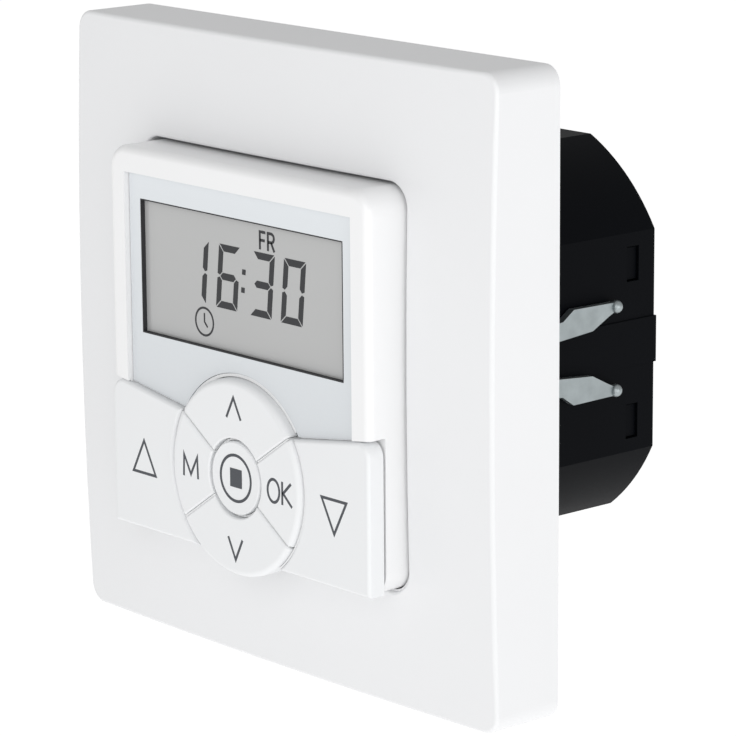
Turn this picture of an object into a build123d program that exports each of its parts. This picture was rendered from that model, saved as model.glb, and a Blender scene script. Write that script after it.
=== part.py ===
from build123d import *
import math
import os

# Flush-mounted wall timer for a roller shutter: a square cover frame, a plug-in control unit with
# a display and seven keys, and a black insert that sits in a round 60 mm wall box.
# X runs to the right, Z runs up and the front faces -Y. The wall surface is Y = 0. A "height" is
# a distance from the wall surface towards the room, so a negative height is inside the wall box.

# Cover frame
FRAME_SIDE = 80.0
FRAME_CORNER = 2.4
FRAME_TOP_HEIGHT = 11.9
FRAME_DOME_RADIUS = 842.0
FRAME_EDGE_ROUND = 0.5
FRAME_WALL = 1.6
FRAME_CAVITY_HEIGHT = 8.2
FRAME_OPENING = 50.8
FRAME_OPENING_CORNER = 3.2
FRAME_OPENING_ROUND = 0.35
COLLAR_WALL = 1.4
COLLAR_BACK_HEIGHT = 3.0
CLIP_RIB_OFFSET = 16.0
CLIP_RIB_WIDTH = 1.4

# Insert in the wall box
BOX_FLAT_SIDE = 24.0
BOX_FLAT_TOP = 25.0
BOX_FLAT_BOTTOM = 23.2
BOX_RADIUS = 27.9
BOX_LOWER_RADIUS = 26.9
BOX_LOWER_CENTRE = -2.0
BOX_BACK = -32.4
BOX_WALL = 1.8
BOX_FLOOR = 2.0
GUIDE_PAD_WIDTH = 6.0
GUIDE_PAD_RISE = 0.2
GUIDE_PAD_LENGTH = 24.9
LATCH_OFFSET = 10.2
LATCH_LENGTH = 4.5
LATCH_WIDTH = 2.1
LATCH_HEIGHT = -28.3
ARM_GAP = 0.1
ARM_THICKNESS = 1.1

# Support ring
RING_SIDE = 71.0
RING_THICKNESS = 1.2
RING_CORNER_CUT = 7.0
RING_CLEARANCE = 0.15
BOX_SCREW_SPACING = 60.0
BOX_SCREW_SLOT_WIDTH = 3.6
BOX_SCREW_SLOT_LENGTH = 6.4
RING_SCREW_PLACE = 22.4
RING_SCREW_RADIUS = 1.25
RING_SCREW_HEAD_RADIUS = 2.3
RING_SCREW_HEAD_HEIGHT = 1.1
COVER_FLANGE_SIDE = 49.6
COVER_FLANGE_THICKNESS = 1.6

# Spreading claws
CLAW_SHEET = 1.0
CLAW_FACE = 25.25
CLAW_PIVOT_X = 25.9
CLAW_PIVOT_HEIGHT = -4.2
CLAW_PIN_RADIUS = 0.9
CLAW_PIN_CLEARANCE = 0.05
CLAW_EAR_FRONT = -2.6
CLAW_FLANGE_BACK = -6.4
CLAW_HALF_WIDTH = 8.6
CLAW_REACH = 31.0
CLAW_SLOT_HALF = 2.9
CLAW_EAR_INSIDE = 24.75
CLAW_EAR_OUTSIDE = 28.05
CLAW_SCREW_X = 28.4
CLAW_SCREW_RADIUS = 1.5
CLAW_SCREW_END = -10.0
CLAW_SCREW_HEAD_RADIUS = 2.7
CLAW_SCREW_HEAD_HEIGHT = 1.5
CLAW_NUT_RADIUS = 2.0
CLAW_NUT_LENGTH = 5.2
CLAW_BALL_RADIUS = 0.85
CLAW_BALL_X = 25.1
TAB_INSIDE = 8.8
TAB_THICKNESS = 1.2

# Inside the insert
BOARD_THICKNESS = 1.6
POWER_BOARD_HEIGHT = -8.6
POWER_BOARD_HALF_WIDTH = 20.4
TERMINAL_COUNT = 5
TERMINAL_PITCH = 7.6
TERMINAL_ROW = -14.2
TERMINAL_BLOCK_TOP = -10.0
TERMINAL_BLOCK_BOTTOM = -19.4
TERMINAL_FLOOR = 4.4
WIRE_HOLE_RADIUS = 1.5
RELEASE_SLOT_OFFSET = 7.0
PIN_ROWS = 2
PIN_COLUMNS = 5
PIN_PITCH = 2.54
PIN_SIDE = 0.64
PIN_HOLE_SIDE = 1.0
SOCKET_TOP = 2.6
SOCKET_LENGTH = 16.0
SOCKET_WIDTH = 6.4

# Control unit
UNIT_SIDE = 50.0
UNIT_CORNER = 3.0
UNIT_BACK = 4.4
UNIT_FRONT = 17.0
UNIT_EDGE_ROUND = 1.0
UNIT_WALL = 1.4
UNIT_CAVITY_TOP = 12.9
PANEL_HALF_WIDTH = 21.9
PANEL_TOP = 21.7
PANEL_FACE = 16.2
PANEL_THICKNESS = 0.6
PANEL_GAP = 0.1
SCREEN_WIDTH = 39.2
SCREEN_HEIGHT = 17.35
SCREEN_CENTRE = 9.73
SCREEN_CORNER = 0.25
LCD_WIDTH = 41.6
LCD_HEIGHT = 20.2
LCD_THICKNESS = 1.1
LCD_GAP = 0.2
ZEBRA_WIDTH = 1.4
ZEBRA_LENGTH = 35.2
CONTROL_BOARD_HEIGHT = 6.6
CONTROL_BOARD_SIDE = 46.4
SCREW_POST_PLACE = 20.4
SCREW_POST_RADIUS = 2.3
UNIT_SCREW_RADIUS = 1.1
UNIT_SCREW_HEAD_RADIUS = 1.9
SWITCH_SIDE = 4.5
SWITCH_HEIGHT = 3.4
SWITCH_TIP_RADIUS = 1.7
SWITCH_TIP_HEIGHT = 0.8

# Keys
KEY_BED = 14.35
KEY_FACE = 17.1
KEY_UNDERSIDE = 14.7
KEY_TOP_OUTSIDE = -5.1
KEY_TOP_INSIDE = -7.2
KEY_INSIDE = 11.0
KEY_BOTTOM = -24.6
KEY_GAP = 0.15
KEY_CORNER = 1.9
KEY_ROUND = 0.45
PAD_CENTRE = -14.3
PAD_RADIUS = 12.6
PAD_RECESS_RADIUS = 13.1
KEY_CUT_RADIUS = 12.95
PAD_INNER_RADIUS = 5.1
PAD_FACE = 17.45
PAD_UNDERSIDE = 14.8
PAD_ROUND = 0.8
PAD_GROOVE_ROUND = 0.25
PAD_SPLIT_ANGLE = 34.0
PAD_GROOVE = 0.3
STOP_RADIUS = 4.7
STOP_FACE = 17.35
STOP_DISH_RADIUS = 70.0
STEM_RADIUS = 1.5
STEM_END = 12.8
STEM_GUIDE_RADIUS = 1.9
STEM_RING_RADIUS = 6.9
KEY_STEM_X = 18.7
KEY_STEM_Z = -14.4

KEY_PLACES = {
    "up": (-KEY_STEM_X, KEY_STEM_Z),
    "down": (KEY_STEM_X, KEY_STEM_Z),
    "pad_up": (0, PAD_CENTRE + STEM_RING_RADIUS),
    "pad_down": (0, PAD_CENTRE - STEM_RING_RADIUS),
    "menu": (-STEM_RING_RADIUS, PAD_CENTRE),
    "ok": (STEM_RING_RADIUS, PAD_CENTRE),
    "stop": (0, PAD_CENTRE),
}

os.makedirs("parts", exist_ok=True)


def at_height(height):
    """Plane parallel to the wall at this height, with X to the right, Z up and its normal forwards."""
    return Plane.XZ.offset(height)


def box_outline(margin):
    """Plan of the insert: four flats joined by arcs, made larger all round by the margin."""
    side = BOX_FLAT_SIDE + margin
    top = BOX_FLAT_TOP + margin
    bottom = BOX_FLAT_BOTTOM + margin
    upper = BOX_RADIUS + margin
    lower = BOX_LOWER_RADIUS + margin
    top_x = math.sqrt(upper**2 - top**2)
    bottom_x = math.sqrt(lower**2 - (bottom + BOX_LOWER_CENTRE) ** 2)
    side_top = math.sqrt(upper**2 - side**2)
    side_bottom = BOX_LOWER_CENTRE - math.sqrt(lower**2 - side**2)
    upper_turn = math.radians(47)
    lower_turn = math.radians(-40)
    upper_middle = (upper * math.cos(upper_turn), upper * math.sin(upper_turn))
    lower_middle = (lower * math.cos(lower_turn), BOX_LOWER_CENTRE + lower * math.sin(lower_turn))
    with BuildLine() as outline:
        Line((-top_x, top), (top_x, top))
        ThreePointArc((top_x, top), upper_middle, (side, side_top))
        Line((side, side_top), (side, side_bottom))
        ThreePointArc((side, side_bottom), lower_middle, (bottom_x, -bottom))
        Line((bottom_x, -bottom), (-bottom_x, -bottom))
        ThreePointArc((-bottom_x, -bottom), (-lower_middle[0], lower_middle[1]), (-side, side_bottom))
        Line((-side, side_bottom), (-side, side_top))
        ThreePointArc((-side, side_top), (-upper_middle[0], upper_middle[1]), (-top_x, top))
    make_face(outline.edges())


def key_line(across):
    """Height of the line between the display panel and the two large keys."""
    fall = (KEY_TOP_OUTSIDE - KEY_TOP_INSIDE) / (UNIT_SIDE / 2 - KEY_INSIDE)
    return KEY_TOP_OUTSIDE - fall * (UNIT_SIDE / 2 - abs(across))


# --- Cover frame: a shallow square shell with a faintly domed front ---
cavity_side = FRAME_SIDE - 2 * FRAME_WALL
rib_length = (cavity_side - RING_SIDE) / 2 - 0.2
rib_centre = cavity_side / 2 - rib_length / 2
with BuildPart() as cover_frame:
    with BuildSketch(at_height(0)):
        RectangleRounded(FRAME_SIDE, FRAME_SIDE, FRAME_CORNER)
    extrude(amount=FRAME_TOP_HEIGHT + 1)
    with Locations((0, FRAME_DOME_RADIUS - FRAME_TOP_HEIGHT, 0)):
        Sphere(FRAME_DOME_RADIUS, mode=Mode.INTERSECT)
    fillet(cover_frame.faces().filter_by(GeomType.SPHERE).edges(), FRAME_EDGE_ROUND)
    with BuildSketch(at_height(0)):
        RectangleRounded(FRAME_OPENING, FRAME_OPENING, FRAME_OPENING_CORNER)
    extrude(amount=FRAME_TOP_HEIGHT + 1, mode=Mode.SUBTRACT)
    fillet(cover_frame.faces().filter_by(GeomType.SPHERE).face().inner_wires().edges(), FRAME_OPENING_ROUND)
    with BuildSketch(at_height(0)):
        RectangleRounded(cavity_side, cavity_side, FRAME_CORNER - 0.9)
        collar_side = FRAME_OPENING + 2 * COLLAR_WALL
        RectangleRounded(collar_side, collar_side, FRAME_OPENING_CORNER + COLLAR_WALL, mode=Mode.SUBTRACT)
    extrude(amount=FRAME_CAVITY_HEIGHT, mode=Mode.SUBTRACT)
    with BuildSketch(at_height(0)):
        Rectangle(collar_side + 1, collar_side + 1)
    extrude(amount=COLLAR_BACK_HEIGHT, mode=Mode.SUBTRACT)
    with BuildSketch(at_height(0.3)):
        for side in (-1, 1):
            with Locations(*[(side * rib_centre, place) for place in (-CLIP_RIB_OFFSET, CLIP_RIB_OFFSET)]):
                Rectangle(rib_length, CLIP_RIB_WIDTH)
            with Locations(*[(place, side * rib_centre) for place in (-CLIP_RIB_OFFSET, CLIP_RIB_OFFSET)]):
                Rectangle(CLIP_RIB_WIDTH, rib_length)
    extrude(amount=FRAME_CAVITY_HEIGHT - 0.3)
cover_frame.part.label = "cover_frame"
export_step(cover_frame.part, "parts/cover_frame.step")

# --- Rear housing: the black cup that goes into the wall box ---
terminal_xs = [(index - (TERMINAL_COUNT - 1) / 2) * TERMINAL_PITCH for index in range(TERMINAL_COUNT)]
with BuildPart() as rear_housing:
    with BuildSketch(at_height(BOX_BACK)):
        box_outline(0)
    extrude(amount=RING_THICKNESS - BOX_BACK)
    fillet(rear_housing.faces().sort_by(Axis.Y)[-1].edges(), 0.4)
    with BuildSketch(at_height(BOX_BACK + BOX_FLOOR)):
        box_outline(-BOX_WALL)
    extrude(amount=RING_THICKNESS - BOX_BACK - BOX_FLOOR, mode=Mode.SUBTRACT)
    with BuildSketch(at_height(BOX_BACK)):
        for side in (-1, 1):
            with Locations((side * (BOX_FLAT_SIDE - 0.5 + GUIDE_PAD_RISE / 2), 0)):
                Rectangle(1.0 + GUIDE_PAD_RISE, GUIDE_PAD_WIDTH)
    extrude(amount=GUIDE_PAD_LENGTH)
    for side in (-1, 1):
        with BuildSketch(Plane.YZ.offset(side * BOX_FLAT_SIDE)):
            with Locations(*[(-LATCH_HEIGHT, place) for place in (-LATCH_OFFSET, LATCH_OFFSET)]):
                Rectangle(LATCH_WIDTH, LATCH_LENGTH)
        extrude(amount=BOX_WALL + 0.5, both=True, mode=Mode.SUBTRACT)
    with BuildSketch(at_height(BOX_BACK)):
        with Locations(*[(across, TERMINAL_ROW) for across in terminal_xs]):
            Circle(WIRE_HOLE_RADIUS)
        with Locations(*[(across, TERMINAL_ROW + RELEASE_SLOT_OFFSET) for across in terminal_xs]):
            Rectangle(3.0, 1.4)
    extrude(amount=BOX_FLOOR, mode=Mode.SUBTRACT)
rear_housing.part.label = "rear_housing"
export_step(rear_housing.part, "parts/rear_housing.step")

# --- Insert cover: flange in front of the support ring, with four snap arms into the housing ---
arm_outside = BOX_FLAT_SIDE - BOX_WALL - ARM_GAP
arm_end = LATCH_HEIGHT - LATCH_WIDTH / 2 - 0.5
screw_places = [(x, z) for x in (-RING_SCREW_PLACE, RING_SCREW_PLACE) for z in (-RING_SCREW_PLACE, RING_SCREW_PLACE)]
with BuildPart() as insert_cover:
    with BuildSketch(at_height(RING_THICKNESS)):
        RectangleRounded(COVER_FLANGE_SIDE, COVER_FLANGE_SIDE, 2.0)
        Rectangle(SOCKET_LENGTH + 0.6, SOCKET_WIDTH + 0.6, mode=Mode.SUBTRACT)
        with Locations(*screw_places):
            Circle(RING_SCREW_RADIUS + 0.1, mode=Mode.SUBTRACT)
    extrude(amount=COVER_FLANGE_THICKNESS)
    with BuildSketch(at_height(arm_end)):
        for side in (-1, 1):
            for place in (-LATCH_OFFSET, LATCH_OFFSET):
                with Locations((side * (arm_outside - ARM_THICKNESS / 2), place)):
                    Rectangle(ARM_THICKNESS, LATCH_LENGTH - 0.4)
    extrude(amount=RING_THICKNESS - arm_end)
    with BuildSketch(at_height(LATCH_HEIGHT - LATCH_WIDTH / 2 + 0.1)):
        for side in (-1, 1):
            for place in (-LATCH_OFFSET, LATCH_OFFSET):
                with Locations((side * (arm_outside + 0.65), place)):
                    Rectangle(1.7, LATCH_LENGTH - 0.4)
    extrude(amount=LATCH_WIDTH - 0.2)
insert_cover.part.label = "insert_cover"
export_step(insert_cover.part, "parts/insert_cover.step")

# --- Support ring: zinc-plated steel plate on the wall, with the tabs that carry the claws ---
tab_inside_x = BOX_FLAT_SIDE + 0.6
tab_outside_x = CLAW_PIVOT_X + 1.8
with BuildPart() as support_ring:
    with BuildSketch(at_height(0)) as ring_plan:
        Rectangle(RING_SIDE, RING_SIDE)
        chamfer(ring_plan.vertices(), RING_CORNER_CUT)
    extrude(amount=RING_THICKNESS)
    with BuildSketch(at_height(0)):
        box_outline(RING_CLEARANCE)
    extrude(amount=RING_THICKNESS, mode=Mode.SUBTRACT)
    with BuildSketch(at_height(0)):
        with Locations((0, BOX_SCREW_SPACING / 2), (0, -BOX_SCREW_SPACING / 2)):
            SlotOverall(BOX_SCREW_SLOT_LENGTH, BOX_SCREW_SLOT_WIDTH, rotation=90)
        with Locations(*screw_places):
            Circle(RING_SCREW_RADIUS)
        with Locations((CLAW_SCREW_X, 0), (-CLAW_SCREW_X, 0)):
            Circle(CLAW_SCREW_RADIUS + 0.2)
    extrude(amount=RING_THICKNESS, mode=Mode.SUBTRACT)
    tab_back = CLAW_PIVOT_HEIGHT - 1.8
    with BuildSketch(at_height(tab_back)):
        for side in (-1, 1):
            for edge in (-1, 1):
                with Locations((side * (tab_inside_x + tab_outside_x) / 2, edge * (TAB_INSIDE + TAB_THICKNESS / 2))):
                    Rectangle(tab_outside_x - tab_inside_x, TAB_THICKNESS)
    extrude(amount=-tab_back)
    with BuildSketch(Plane.XY):
        with Locations((CLAW_PIVOT_X, -CLAW_PIVOT_HEIGHT), (-CLAW_PIVOT_X, -CLAW_PIVOT_HEIGHT)):
            Circle(CLAW_PIN_RADIUS)
    extrude(amount=RING_SIDE / 4, both=True, mode=Mode.SUBTRACT)
support_ring.part.label = "support_ring"
export_step(support_ring.part, "parts/support_ring.step")

# --- Screws that hold the insert cover to the support ring ---
for number, place in enumerate(screw_places, start=1):
    with BuildPart() as ring_screw:
        with BuildSketch(at_height(0)):
            with Locations(place):
                Circle(RING_SCREW_RADIUS)
        extrude(amount=RING_THICKNESS + COVER_FLANGE_THICKNESS)
        with BuildSketch(at_height(RING_THICKNESS + COVER_FLANGE_THICKNESS)):
            with Locations(place):
                Circle(RING_SCREW_HEAD_RADIUS)
        extrude(amount=RING_SCREW_HEAD_HEIGHT)
        fillet(ring_screw.faces().sort_by(Axis.Y)[0].edges(), 0.4)
        with BuildSketch(at_height(RING_THICKNESS + COVER_FLANGE_THICKNESS + RING_SCREW_HEAD_HEIGHT)):
            with Locations(place):
                Rectangle(2.6, 0.6, rotation=45)
                Rectangle(2.6, 0.6, rotation=-45)
        extrude(amount=-0.7, mode=Mode.SUBTRACT)
    ring_screw.part.label = f"ring_screw_{number}"
    export_step(ring_screw.part, f"parts/ring_screw_{number}.step")

# --- Spreading claws, with their pins, nuts and screws, one set on each side ---
claw_foot = CLAW_FLANGE_BACK + CLAW_SHEET
claw_slot_end = 0.2 - CLAW_FLANGE_BACK
for side, name in ((-1, "left"), (1, "right")):
    with BuildPart() as claw:
        with BuildSketch(Plane.YZ.offset(side * (CLAW_FACE - CLAW_SHEET / 2))):
            for edge in (-1, 1):
                with BuildLine():
                    Polyline(
                        (-claw_foot, 0),
                        (-claw_foot, edge * CLAW_HALF_WIDTH),
                        (8.2, edge * CLAW_HALF_WIDTH),
                        (12.0, edge * 4.6),
                        (14.9, edge * 4.8),
                        (16.8, edge * 6.1),
                        (23.9, edge * 6.0),
                        (23.9, edge * 4.8),
                        (22.8, edge * 4.3),
                        (20.1, edge * 2.9),
                        (13.0, edge * 2.3),
                        (12.2, edge * CLAW_SLOT_HALF),
                        (claw_slot_end, edge * CLAW_SLOT_HALF),
                        (claw_slot_end, 0),
                        close=True,
                    )
                make_face()
        extrude(amount=CLAW_SHEET / 2, both=True)
        with Locations((side * CLAW_BALL_X, 24.3, 5.4), (side * CLAW_BALL_X, 24.3, -5.4)):
            Sphere(CLAW_BALL_RADIUS)
        claw_middle = side * (CLAW_FACE - CLAW_SHEET + CLAW_REACH) / 2
        with BuildSketch(at_height(CLAW_FLANGE_BACK)):
            with Locations((claw_middle, 0)):
                Rectangle(CLAW_REACH - CLAW_FACE + CLAW_SHEET, 2 * CLAW_HALF_WIDTH)
            with Locations((side * (CLAW_SCREW_X - 0.4), 0)):
                SlotOverall(5.0, 3.5, mode=Mode.SUBTRACT)
            with Locations((side * CLAW_REACH, CLAW_HALF_WIDTH), (side * CLAW_REACH, -CLAW_HALF_WIDTH)):
                Rectangle(5.0, 5.0, rotation=45, mode=Mode.SUBTRACT)
        extrude(amount=CLAW_SHEET)
        with BuildSketch(at_height(CLAW_FLANGE_BACK)):
            for edge in (-1, 1):
                with Locations((side * (CLAW_EAR_INSIDE + CLAW_EAR_OUTSIDE) / 2, edge * (CLAW_HALF_WIDTH - 0.5))):
                    Rectangle(CLAW_EAR_OUTSIDE - CLAW_EAR_INSIDE, 1.0)
        extrude(amount=CLAW_EAR_FRONT - CLAW_FLANGE_BACK)
        with BuildSketch(Plane.XY):
            with Locations((side * CLAW_PIVOT_X, -CLAW_PIVOT_HEIGHT)):
                Circle(CLAW_PIN_RADIUS + CLAW_PIN_CLEARANCE)
        extrude(amount=CLAW_HALF_WIDTH + 1, both=True, mode=Mode.SUBTRACT)
    claw.part.label = f"claw_{name}"
    export_step(claw.part, f"parts/claw_{name}.step")

    with BuildPart() as claw_pin:
        with BuildSketch(Plane.XY):
            with Locations((side * CLAW_PIVOT_X, -CLAW_PIVOT_HEIGHT)):
                Circle(CLAW_PIN_RADIUS)
        extrude(amount=TAB_INSIDE + TAB_THICKNESS + 0.3, both=True)
    claw_pin.part.label = f"claw_pin_{name}"
    export_step(claw_pin.part, f"parts/claw_pin_{name}.step")

    with BuildPart() as claw_nut:
        with BuildSketch(Plane.XY):
            with Locations((side * CLAW_SCREW_X, CLAW_NUT_RADIUS + 0.02 - CLAW_FLANGE_BACK)):
                Circle(CLAW_NUT_RADIUS)
        extrude(amount=CLAW_NUT_LENGTH / 2, both=True)
        with BuildSketch(at_height(0)):
            with Locations((side * CLAW_SCREW_X, 0)):
                Circle(CLAW_SCREW_RADIUS + 0.05)
        extrude(amount=CLAW_FLANGE_BACK - 2 * CLAW_NUT_RADIUS - 1, mode=Mode.SUBTRACT)
    claw_nut.part.label = f"claw_nut_{name}"
    export_step(claw_nut.part, f"parts/claw_nut_{name}.step")

    with BuildPart() as claw_screw:
        with BuildSketch(at_height(CLAW_SCREW_END)):
            with Locations((side * CLAW_SCREW_X, 0)):
                Circle(CLAW_SCREW_RADIUS)
        extrude(amount=RING_THICKNESS - CLAW_SCREW_END)
        chamfer(claw_screw.faces().sort_by(Axis.Y)[-1].edges(), 0.4)
        with BuildSketch(at_height(RING_THICKNESS)):
            with Locations((side * CLAW_SCREW_X, 0)):
                Circle(CLAW_SCREW_HEAD_RADIUS)
        extrude(amount=CLAW_SCREW_HEAD_HEIGHT)
        fillet(claw_screw.faces().sort_by(Axis.Y)[0].edges(), 0.5)
        with BuildSketch(at_height(RING_THICKNESS + CLAW_SCREW_HEAD_HEIGHT)):
            with Locations((side * CLAW_SCREW_X, 0)):
                Rectangle(3.4, 0.8)
                Rectangle(0.8, 3.4)
        extrude(amount=-0.9, mode=Mode.SUBTRACT)
    claw_screw.part.label = f"claw_screw_{name}"
    export_step(claw_screw.part, f"parts/claw_screw_{name}.step")

# --- Power board inside the insert, and what is soldered to its rear side ---
with BuildPart() as power_board:
    with BuildSketch(at_height(POWER_BOARD_HEIGHT)):
        box_outline(-BOX_WALL - 0.3)
        Rectangle(2 * POWER_BOARD_HALF_WIDTH, 2 * BOX_RADIUS, mode=Mode.INTERSECT)
    extrude(amount=BOARD_THICKNESS)
power_board.part.label = "power_board"
export_step(power_board.part, "parts/power_board.step")

for side, name in ((-1, "up"), (1, "down")):
    with BuildPart() as relay:
        with BuildSketch(at_height(POWER_BOARD_HEIGHT)):
            with Locations((side * 10.3, 8.0)):
                Rectangle(20.0, 10.0)
        extrude(amount=-15.0)
        fillet(relay.edges().filter_by(Axis.Y), 0.5)
        chamfer(relay.faces().sort_by(Axis.Y)[-1].edges(), 0.4)
    relay.part.label = f"relay_{name}"
    export_step(relay.part, f"parts/relay_{name}.step")

with BuildPart() as film_capacitor:
    with BuildSketch(at_height(POWER_BOARD_HEIGHT)):
        with Locations((-7.6, 16.4)):
            Rectangle(13.0, 5.0)
    extrude(amount=-11.0)
    fillet(film_capacitor.edges().filter_by(Axis.Y), 0.5)
film_capacitor.part.label = "film_capacitor"
export_step(film_capacitor.part, "parts/film_capacitor.step")

with BuildPart() as electrolytic_capacitor:
    with BuildSketch(at_height(POWER_BOARD_HEIGHT)):
        with Locations((5.0, 18.0)):
            Circle(4.0)
    extrude(amount=-11.5)
    fillet(electrolytic_capacitor.faces().sort_by(Axis.Y)[-1].edges(), 0.6)
electrolytic_capacitor.part.label = "electrolytic_capacitor"
export_step(electrolytic_capacitor.part, "parts/electrolytic_capacitor.step")

with BuildPart() as varistor:
    with BuildSketch(Plane.YZ.offset(12.0)):
        with Locations((-POWER_BOARD_HEIGHT + 4.0, 17.2)):
            Circle(3.6)
        with Locations((-POWER_BOARD_HEIGHT + 1.0, 17.2)):
            Rectangle(2.0, 4.0)
    extrude(amount=3.2)
    fillet(varistor.faces().filter_by(Axis.X).edges().filter_by(GeomType.CIRCLE), 0.5)
varistor.part.label = "varistor"
export_step(varistor.part, "parts/varistor.step")

with BuildPart() as transformer:
    with BuildSketch(at_height(POWER_BOARD_HEIGHT)):
        with Locations((-9.4, -3.4)):
            Rectangle(16.0, 11.4)
    extrude(amount=-1.6)
    with BuildSketch(at_height(POWER_BOARD_HEIGHT - 1.6)):
        with Locations((-9.4, -3.4)):
            Rectangle(11.0, 11.4)
    extrude(amount=-9.0)
    with BuildSketch(at_height(POWER_BOARD_HEIGHT - 10.6)):
        with Locations((-9.4, -3.4)):
            Rectangle(16.0, 11.4)
    extrude(amount=-1.4)
transformer.part.label = "transformer"
export_step(transformer.part, "parts/transformer.step")

with BuildPart() as fuse:
    with BuildSketch(Plane.XY.offset(-7.4)):
        with Locations((8.0, -POWER_BOARD_HEIGHT + 2.8)):
            Circle(2.6)
    extrude(amount=8.8)
    with BuildSketch(at_height(POWER_BOARD_HEIGHT)):
        with Locations((8.0, -6.4), (8.0, 0.4)):
            Rectangle(4.0, 1.2)
    extrude(amount=-2.8)
fuse.part.label = "fuse"
export_step(fuse.part, "parts/fuse.step")

# --- Terminal block with one cage clamp for each wire ---
block_back = BOX_BACK + BOX_FLOOR
clamp_back = block_back + TERMINAL_FLOOR
block_middle = (TERMINAL_BLOCK_TOP + TERMINAL_BLOCK_BOTTOM) / 2
block_depth = TERMINAL_BLOCK_TOP - TERMINAL_BLOCK_BOTTOM
with BuildPart() as terminal_block:
    with BuildSketch(at_height(block_back)):
        box_outline(-BOX_WALL - 0.2)
        with Locations((0, block_middle)):
            Rectangle(2 * POWER_BOARD_HALF_WIDTH, block_depth, mode=Mode.INTERSECT)
    extrude(amount=POWER_BOARD_HEIGHT - block_back)
    with BuildSketch(at_height(clamp_back)):
        with Locations(*[(across, block_middle) for across in terminal_xs]):
            Rectangle(5.4, 6.6)
    extrude(amount=POWER_BOARD_HEIGHT - clamp_back, mode=Mode.SUBTRACT)
    with BuildSketch(at_height(block_back)):
        with Locations(*[(across, TERMINAL_ROW) for across in terminal_xs]):
            Circle(WIRE_HOLE_RADIUS)
    extrude(amount=TERMINAL_FLOOR, mode=Mode.SUBTRACT)
terminal_block.part.label = "terminal_block"
export_step(terminal_block.part, "parts/terminal_block.step")

for number, across in enumerate(terminal_xs, start=1):
    with BuildPart() as wire_clamp:
        with BuildSketch(at_height(clamp_back)):
            with Locations((across, block_middle)):
                Rectangle(5.0, 6.2)
            with Locations((across, block_middle)):
                Rectangle(3.6, 4.6, mode=Mode.SUBTRACT)
        extrude(amount=9.0)
        with BuildSketch(at_height(clamp_back + 9.0)):
            with Locations((across, block_middle)):
                Rectangle(5.0, 6.2)
        extrude(amount=0.8)
        with BuildSketch(at_height(clamp_back + 9.8)):
            with Locations((across, block_middle)):
                Rectangle(1.0, 3.0)
        extrude(amount=POWER_BOARD_HEIGHT - clamp_back - 9.8)
    wire_clamp.part.label = f"wire_clamp_{number}"
    export_step(wire_clamp.part, f"parts/wire_clamp_{number}.step")

# --- Socket on the power board, and the pin header of the control unit that plugs into it ---
with BuildPart() as header_socket:
    with BuildSketch(at_height(POWER_BOARD_HEIGHT + BOARD_THICKNESS)):
        Rectangle(SOCKET_LENGTH, SOCKET_WIDTH)
    extrude(amount=SOCKET_TOP - POWER_BOARD_HEIGHT - BOARD_THICKNESS)
    chamfer(header_socket.faces().sort_by(Axis.Y)[0].edges(), 0.3)
    with BuildSketch(at_height(SOCKET_TOP)):
        with GridLocations(PIN_PITCH, PIN_PITCH, PIN_COLUMNS, PIN_ROWS):
            Rectangle(PIN_HOLE_SIDE, PIN_HOLE_SIDE)
    extrude(amount=-7.4, mode=Mode.SUBTRACT)
header_socket.part.label = "header_socket"
export_step(header_socket.part, "parts/header_socket.step")

header_length = PIN_COLUMNS * PIN_PITCH + 0.4
header_width = PIN_ROWS * PIN_PITCH + 0.2
with BuildPart() as plug_header:
    with BuildSketch(at_height(UNIT_BACK - 0.3)):
        Rectangle(header_length, header_width)
    extrude(amount=CONTROL_BOARD_HEIGHT - UNIT_BACK + 0.3)
    with BuildSketch(at_height(SOCKET_TOP - 6.4)):
        with GridLocations(PIN_PITCH, PIN_PITCH, PIN_COLUMNS, PIN_ROWS):
            Rectangle(PIN_SIDE, PIN_SIDE)
    extrude(amount=UNIT_BACK - SOCKET_TOP + 6.4)
plug_header.part.label = "plug_header"
export_step(plug_header.part, "parts/plug_header.step")

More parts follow.
